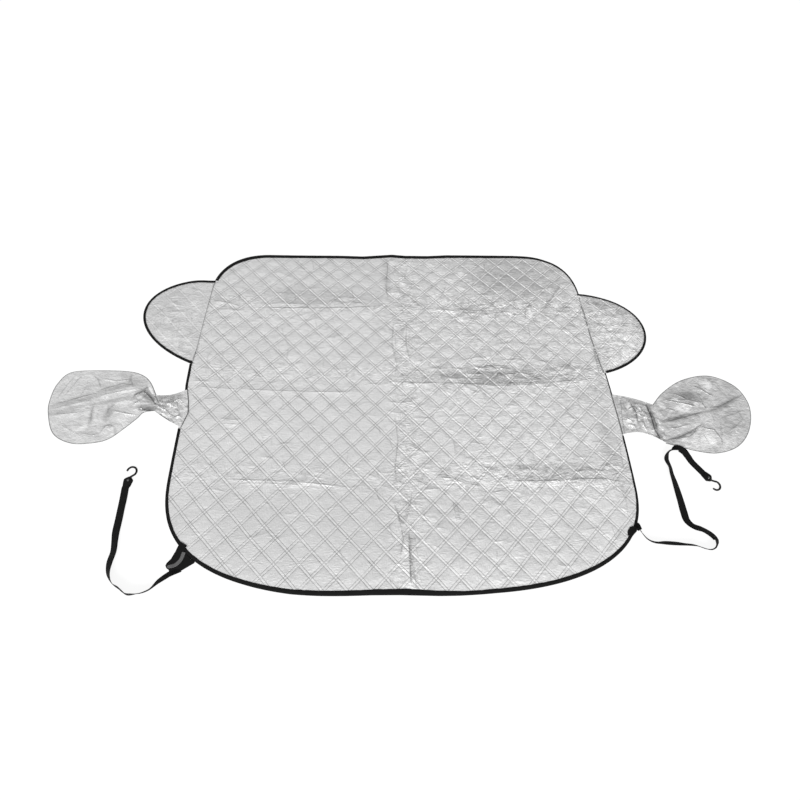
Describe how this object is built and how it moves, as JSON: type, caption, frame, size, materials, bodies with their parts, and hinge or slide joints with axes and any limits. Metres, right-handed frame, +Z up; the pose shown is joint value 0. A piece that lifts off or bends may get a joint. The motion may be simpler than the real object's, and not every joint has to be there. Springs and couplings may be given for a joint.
{
  "type": "windshield frost cover",
  "caption": "Quilted foil cover for a car's windshield, laid flat, with side flaps that shut in the doors, film pockets for the door mirrors, and elastic straps with wire hooks.",
  "frame": {"origin": "on the panel's underside, at the middle of the quilted panel", "axes": "+X across the panel from the left pocket to the right one, +Y from the lower to the upper edge, +Z up, away from the surface it lies on"},
  "size_m": [2.2863, 1.206, 0.0203],
  "materials": {
    "quilted_foil": "satin metallised film, quilted",
    "foil_film": "satin metallised film, crumpled",
    "binding_tape": "matte woven tape",
    "webbing": "matte woven elastic webbing",
    "coated_wire": "smooth black coating",
    "rivet_steel": "plain"
  },
  "bodies": {
    "root": {"quilted_panel": "quilted_foil", "top_binding": "binding_tape", "bottom_binding": "binding_tape", "left_side_binding": "binding_tape", "left_side_flap": "quilted_foil", "left_flap_binding": "binding_tape", "left_mirror_neck": "foil_film", "left_mirror_pocket": "foil_film", "left_strap_tab": "webbing", "left_strap": "webbing", "left_strap_end": "webbing", "left_hook": "coated_wire", "left_strap_rivet": "rivet_steel", "right_side_binding": "binding_tape", "right_side_flap": "quilted_foil", "right_flap_binding": "binding_tape", "right_mirror_neck": "foil_film", "right_mirror_pocket": "foil_film", "right_strap_tab": "webbing", "right_strap": "webbing", "right_strap_end": "webbing", "right_hook": "coated_wire", "right_strap_rivet": "rivet_steel"}
  },
  "joints": []
}
